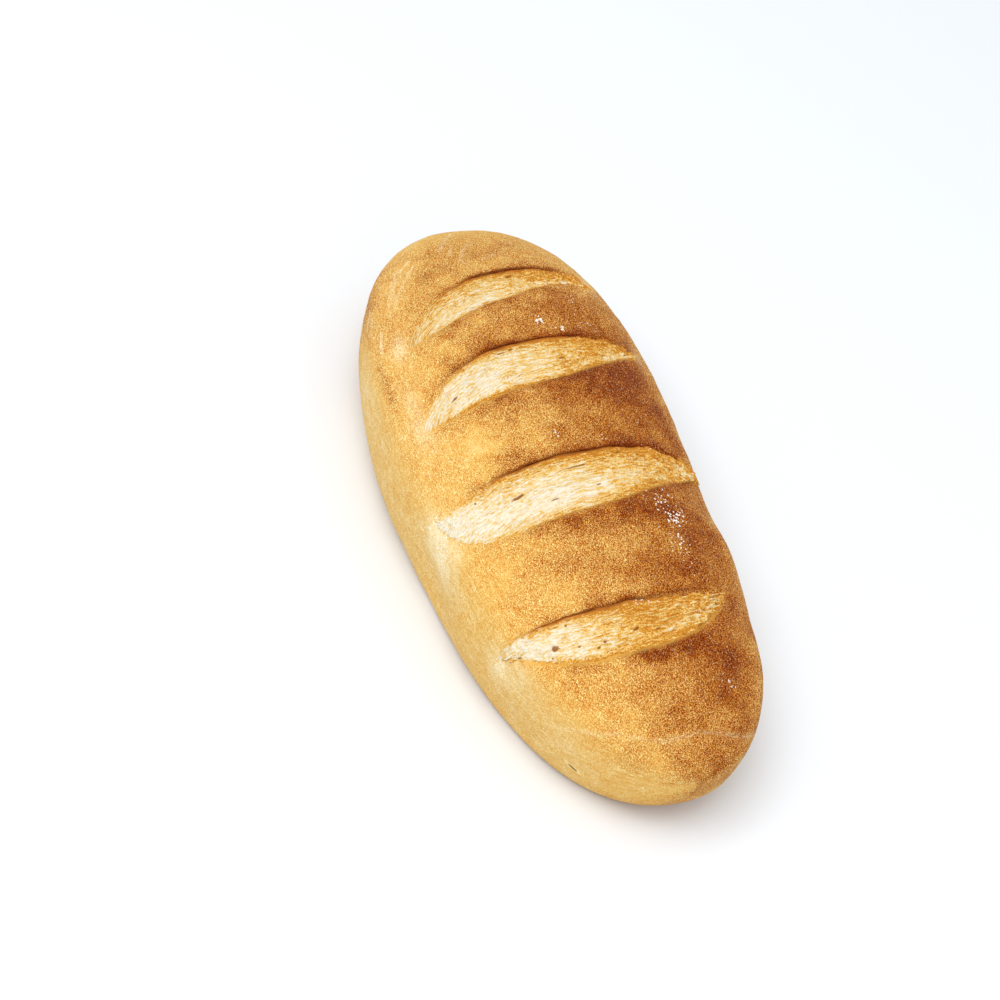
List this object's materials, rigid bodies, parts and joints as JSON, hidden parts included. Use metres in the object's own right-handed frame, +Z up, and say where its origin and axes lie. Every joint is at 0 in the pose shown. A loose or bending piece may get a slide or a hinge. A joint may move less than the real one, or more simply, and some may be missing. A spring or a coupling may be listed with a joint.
{
  "type": "white bread loaf",
  "caption": "Oval white bread loaf with a flat base and slanting torn cuts across its domed, browned top; a baked food item to set down or stock.",
  "frame": {"origin": "middle of the flat base", "axes": "+X along the loaf to its blunter near end, +Y across it, +Z up"},
  "size_m": [0.28, 0.1178, 0.0687],
  "materials": {
    "crust": "matte"
  },
  "bodies": {
    "root": {"loaf": "crust"}
  },
  "joints": []
}
